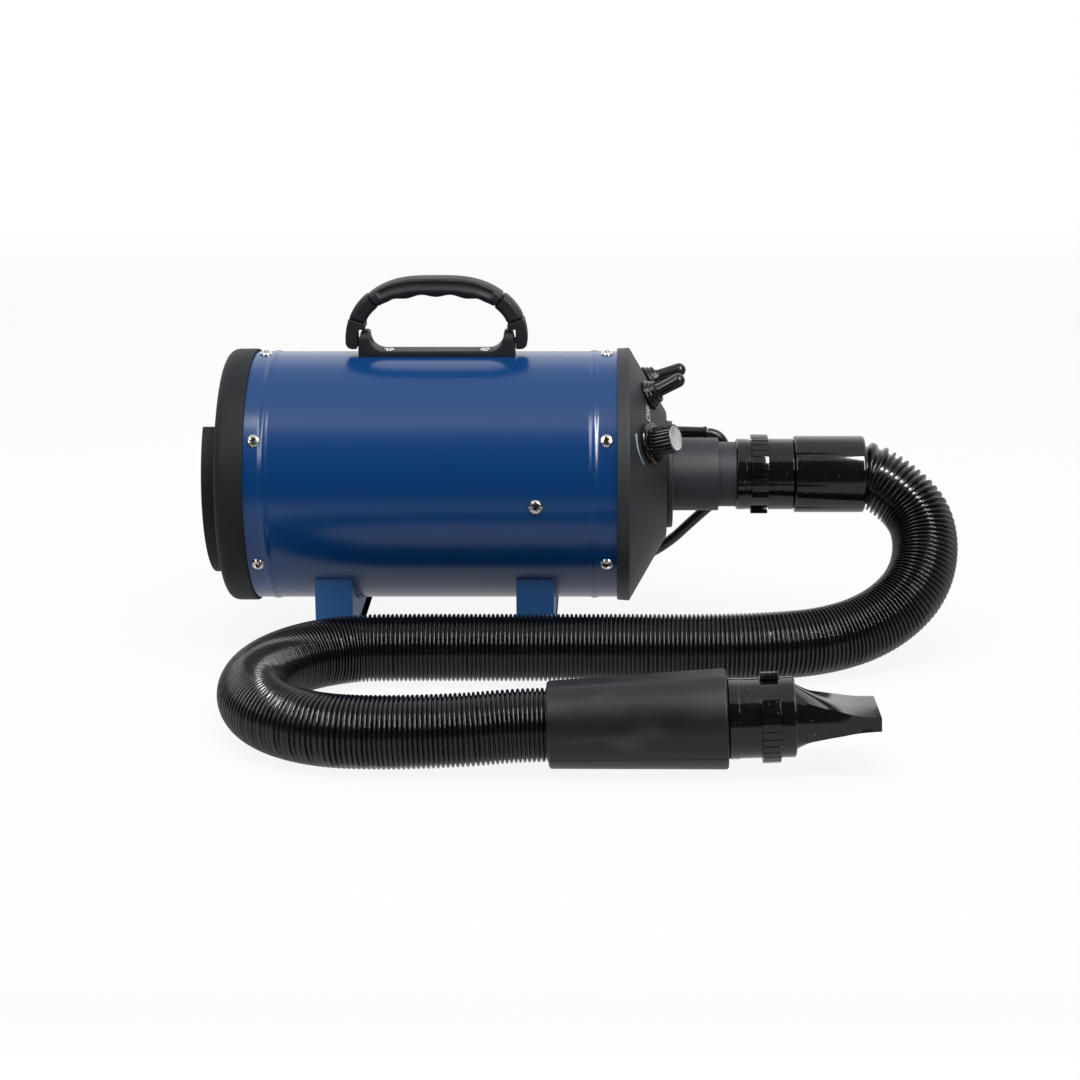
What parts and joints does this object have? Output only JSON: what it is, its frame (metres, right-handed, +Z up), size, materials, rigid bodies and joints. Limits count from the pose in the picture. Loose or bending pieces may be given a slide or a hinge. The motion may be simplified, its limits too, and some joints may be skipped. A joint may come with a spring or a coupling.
{
  "type": "pet dryer",
  "caption": "Canister pet dryer with a steel body on feet, a carrying handle, switches and a heat dial, a ribbed blower hose with a flat nozzle, and a mains lead.",
  "frame": {"origin": "on the surface that the feet stand on, under the middle of the dryer's body from its rear rim to the end of its outlet spigot", "axes": "+X along the tube towards the outlet, +Y across it to the side of the mains lead, +Z up"},
  "size_m": [0.5108, 0.4881, 0.254],
  "materials": {
    "blue_powder_coat": "satin blue powder coat on sheet steel",
    "textured_black": "black plastic with a fine grain",
    "cone_black": "dark satin plastic",
    "outlet_black": "dark satin plastic",
    "gloss_black": "polished black plastic",
    "hose_black": "ribbed flexible black plastic",
    "grip_black": "satin black rubber",
    "rubber": "matt black rubber",
    "foam": "open black foam",
    "steel": "bright steel",
    "silver": "spun aluminium",
    "motor_alloy": "cast alloy",
    "board": "circuit board and moulded case",
    "mica": "mica sheet"
  },
  "bodies": {
    "body": {"housing_tube": "blue_powder_coat", "rear_cap": "textured_black", "front_cone": "cone_black", "outlet_tube": "outlet_black", "foot_bracket_rear": "blue_powder_coat", "foot_bracket_front": "blue_powder_coat", "foot_pad_rear_near": "rubber", "foot_pad_rear_far": "rubber", "foot_pad_front_near": "rubber", "foot_pad_front_far": "rubber", "handle_base": "textured_black", "handle_pin_rear": "steel", "handle_pin_front": "steel", "toggle_switch_near": "outlet_black", "toggle_switch_far": "outlet_black", "toggle_nut_near": "rubber", "toggle_nut_far": "rubber", "speed_module": "board", "cable_gland": "gloss_black", "fan_shroud": "outlet_black", "motor_can": "motor_alloy", "motor_mount": "motor_alloy", "air_duct": "outlet_black", "heater_frame": "mica", "heater_coil": "steel", "hose_connector": "gloss_black", "hose_cuff": "gloss_black", "hose": "hose_black", "hose_grip": "grip_black", "nozzle_collar": "gloss_black", "mains_cord": "rubber", "mains_coil": "rubber", "coil_tie": "rubber", "plug_body": "rubber", "plug_pin_lower": "steel", "plug_pin_upper": "steel"},
    "fan": {"impeller": "outlet_black", "motor_shaft": "steel"},
    "filter": {"filter_cover": "textured_black", "foam_filter": "foam"},
    "handle": {"handle_grip": "textured_black", "handle_arm_rear": "textured_black", "handle_arm_front": "textured_black"},
    "switch_near": {"toggle_boot_near": "rubber"},
    "switch_far": {"toggle_boot_far": "rubber"},
    "dial": {"knob_skirt": "gloss_black", "speed_knob": "gloss_black", "knob_cap": "silver", "knob_shaft": "steel"},
    "nozzle": {"nozzle": "gloss_black"},
    "connector_catch_near": {"connector_pad_near": "gloss_black"},
    "connector_catch_far": {"connector_pad_far": "gloss_black"},
    "collar_catch_near": {"collar_pad_near": "gloss_black"},
    "collar_catch_far": {"collar_pad_far": "gloss_black"}
  },
  "joints": [
    {"name": "fan_spin", "type": "hinge", "parent": "body", "child": "fan", "pos_m": [-0.10325, 0, 0.115], "axis": [1, 0, 0], "continuous": true},
    {"name": "filter_pull", "type": "slide", "parent": "body", "child": "filter", "axis": [-1, 0, 0], "range_m": [0, 0.03]},
    {"name": "handle_fold", "type": "hinge", "parent": "body", "child": "handle", "pos_m": [-0.03625, 0, 0.21], "axis": [1, 0, 0], "range_deg": [-90, 90]},
    {"name": "switch_near_throw", "type": "hinge", "parent": "body", "child": "switch_near", "pos_m": [0.11249, -0.02309, 0.17843], "axis": [0, 0.9397, 0.342], "range_deg": [-10, 20]},
    {"name": "switch_far_throw", "type": "hinge", "parent": "body", "child": "switch_far", "pos_m": [0.11249, 0.02309, 0.17843], "axis": [0, -0.9397, 0.342], "range_deg": [0, 30]},
    {"name": "dial_turn", "type": "hinge", "parent": "body", "child": "dial", "pos_m": [0.11347, -0.05487, 0.15132], "axis": [-0.866, 0.4169, -0.276], "range_deg": [0, 280]},
    {"name": "nozzle_turn", "type": "hinge", "parent": "body", "child": "nozzle", "pos_m": [0.19385, -0.2545, 0.0321], "axis": [0.9993, 0, 0.0361], "continuous": true},
    {"name": "connector_press_near", "type": "slide", "parent": "body", "child": "connector_catch_near", "axis": [0, 0.6884, -0.7254], "range_m": [0, 0.001], "stiffness_N_per_m": 1500, "springref_m": -0.0003},
    {"name": "connector_press_far", "type": "slide", "parent": "body", "child": "connector_catch_far", "axis": [0, -0.6884, 0.7254], "range_m": [0, 0.001], "stiffness_N_per_m": 1500, "springref_m": -0.0003},
    {"name": "collar_press_near", "type": "slide", "parent": "body", "child": "collar_catch_near", "axis": [-0.0153, 0.9063, 0.4223], "range_m": [0, 0.001], "stiffness_N_per_m": 1500, "springref_m": -0.0003},
    {"name": "collar_press_far", "type": "slide", "parent": "body", "child": "collar_catch_far", "axis": [0.0153, -0.9063, -0.4223], "range_m": [0, 0.001], "stiffness_N_per_m": 1500, "springref_m": -0.0003}
  ]
}
